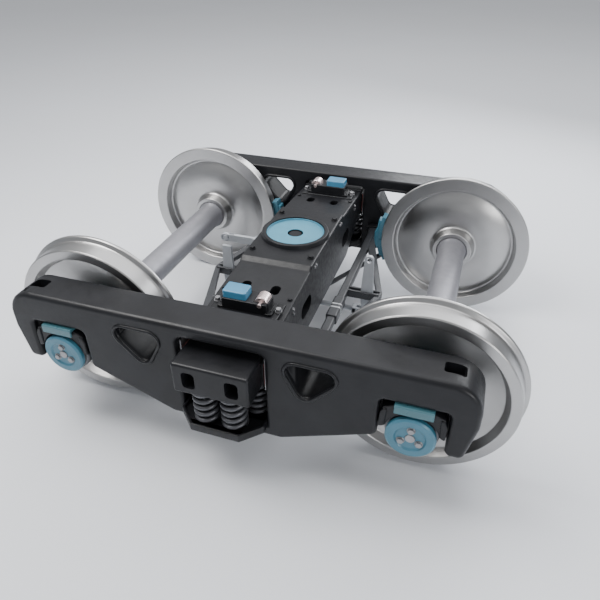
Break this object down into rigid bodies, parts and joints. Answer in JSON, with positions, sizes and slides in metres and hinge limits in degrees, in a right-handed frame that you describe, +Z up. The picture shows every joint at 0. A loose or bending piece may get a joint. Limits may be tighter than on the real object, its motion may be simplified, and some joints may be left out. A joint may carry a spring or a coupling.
{
  "type": "freight wagon bogie",
  "caption": "Freight wagon bogie with cast side frames, sprung bolster, two wheelsets, side bearings, cross brace and brake beams.",
  "frame": {"origin": "on the floor under the middle of the bogie, level with the lowest points of the wheel flanges", "axes": "+X along the rails towards the wheelset called front, +Y across the track towards the side called far, +Z up"},
  "size_m": [2.863, 2.492, 1.013],
  "materials": {
    "black_casting": "semi-gloss painted casting",
    "wheel_steel": "satin forged and turned",
    "axle_steel": "matt forged",
    "bearing_grey": "dark satin",
    "bright_steel": "plain",
    "roller_steel": "polished",
    "plate_steel": "rubbed",
    "spring_steel": "dark oiled",
    "light_blue": "satin",
    "mid_blue": "satin",
    "grey_paint": "satin",
    "dark_paint": "semi-gloss",
    "teal_pad": "moulded",
    "pale_liner": "moulded",
    "lining_red": "pressed friction material",
    "shoe_blue": "pressed friction material"
  },
  "bodies": {
    "frames": {"side_frame_near": "black_casting", "side_frame_far": "black_casting", "column_wear_plates": "plate_steel", "springs_near": "spring_steel", "springs_far": "spring_steel", "cross_brace_upper": "dark_paint", "cross_brace_lower": "dark_paint", "cross_brace_ends": "bright_steel", "bearing_cup_front_near": "bearing_grey", "adapter_front_near": "black_casting", "adapter_pad_front_near": "teal_pad", "bearing_cup_front_far": "bearing_grey", "adapter_front_far": "black_casting", "adapter_pad_front_far": "teal_pad", "bearing_cup_rear_near": "bearing_grey", "adapter_rear_near": "black_casting", "adapter_pad_rear_near": "teal_pad", "bearing_cup_rear_far": "bearing_grey", "adapter_rear_far": "black_casting", "adapter_pad_rear_far": "teal_pad"},
    "wheelset_front": {"axle_front": "axle_steel", "wheel_front_near": "wheel_steel", "wheel_front_far": "wheel_steel", "bearing_inner_front": "axle_steel", "end_cap_front_near": "light_blue", "end_cap_front_far": "light_blue", "end_cap_screws_front": "bright_steel"},
    "wheelset_rear": {"axle_rear": "axle_steel", "wheel_rear_near": "wheel_steel", "wheel_rear_far": "wheel_steel", "bearing_inner_rear": "axle_steel", "end_cap_rear_near": "light_blue", "end_cap_rear_far": "light_blue", "end_cap_screws_rear": "bright_steel"},
    "bolster_body": {"bolster": "black_casting", "centre_liner": "pale_liner", "wedge_linings": "lining_red", "side_bearing_bolts": "bright_steel", "dead_lever_anchor": "grey_paint", "side_bearing_housing_near": "black_casting", "side_bearing_housing_far": "black_casting", "friction_wedge_front_near": "black_casting", "friction_wedge_front_far": "black_casting", "friction_wedge_rear_near": "black_casting", "friction_wedge_rear_far": "black_casting"},
    "side_cap_near": {"side_bearing_cap_near": "mid_blue"},
    "side_roller_near": {"side_bearing_roller_near": "roller_steel"},
    "side_cap_far": {"side_bearing_cap_far": "mid_blue"},
    "side_roller_far": {"side_bearing_roller_far": "roller_steel"},
    "beam_live": {"brake_beam_live": "dark_paint", "brake_heads_live": "light_blue", "brake_shoes_live": "shoe_blue"},
    "lever_live": {"brake_lever_live": "grey_paint"},
    "beam_dead": {"brake_beam_dead": "dark_paint", "brake_heads_dead": "light_blue", "brake_shoes_dead": "shoe_blue"},
    "lever_dead": {"brake_lever_dead": "grey_paint"},
    "rod": {"connecting_rod": "grey_paint", "rod_pins": "bright_steel"},
    "link": {"anchor_link": "grey_paint"}
  },
  "joints": [
    {"name": "wheelset_front_spin", "type": "hinge", "parent": "frames", "child": "wheelset_front", "pos_m": [0.925, 0, 0.5065], "axis": [0, 1, 0], "continuous": true},
    {"name": "wheelset_rear_spin", "type": "hinge", "parent": "frames", "child": "wheelset_rear", "pos_m": [-0.925, 0, 0.5065], "axis": [0, 1, 0], "continuous": true},
    {"name": "bolster_bounce", "type": "slide", "parent": "frames", "child": "bolster_body", "axis": [0, 0, 1], "range_m": [-0.05, 0.008], "stiffness_N_per_m": 9000000, "springref_m": 0.001, "deforming": ["springs_near", "springs_far"]},
    {"name": "side_cap_near_press", "type": "slide", "parent": "bolster_body", "child": "side_cap_near", "axis": [0, 0, 1], "range_m": [-0.016, 0], "stiffness_N_per_m": 300000},
    {"name": "side_roller_near_spin", "type": "hinge", "parent": "bolster_body", "child": "side_roller_near", "pos_m": [0.088, -0.762, 0.838], "axis": [0, 1, 0], "continuous": true},
    {"name": "side_cap_far_press", "type": "slide", "parent": "bolster_body", "child": "side_cap_far", "axis": [0, 0, 1], "range_m": [-0.016, 0], "stiffness_N_per_m": 300000},
    {"name": "side_roller_far_spin", "type": "hinge", "parent": "bolster_body", "child": "side_roller_far", "pos_m": [-0.088, 0.762, 0.838], "axis": [0, 1, 0], "continuous": true},
    {"name": "beam_dead_slide", "type": "slide", "parent": "frames", "child": "beam_dead", "axis": [-1, 0, 0], "range_m": [0, 0.0115]},
    {"name": "beam_live_slide", "type": "slide", "parent": "frames", "child": "beam_live", "axis": [1, 0, 0], "range_m": [0, 0.0115]},
    {"name": "lever_dead_turn", "type": "hinge", "parent": "beam_dead", "child": "lever_dead", "pos_m": [-0.474, 0, 0.47], "axis": [0, 1, 0], "range_deg": [0, 2.7]},
    {"name": "lever_live_turn", "type": "hinge", "parent": "beam_live", "child": "lever_live", "pos_m": [0.474, 0, 0.47], "axis": [0, 1, 0], "range_deg": [0, 13.3]},
    {"name": "rod_turn", "type": "hinge", "parent": "lever_live", "child": "rod", "pos_m": [0.474, 0, 0.345], "axis": [0, 1, 0], "range_deg": [-13.6, 0]},
    {"name": "anchor_link_turn", "type": "hinge", "parent": "bolster_body", "child": "link", "pos_m": [-0.26, 0, 0.72], "axis": [0, 1, 0], "range_deg": [-2.3, 13.4]}
  ],
  "couplings": [
    {"joint": "beam_live_slide", "follows": "beam_dead_slide", "ratio": 1},
    {"joint": "lever_dead_turn", "follows": "beam_dead_slide", "rad_per_m": 4},
    {"joint": "lever_live_turn", "follows": "beam_dead_slide", "rad_per_m": 20},
    {"joint": "rod_turn", "follows": "beam_dead_slide", "rad_per_m": -20.29},
    {"joint": "anchor_link_turn", "follows": "bolster_bounce", "rad_per_m": -4.6}
  ]
}
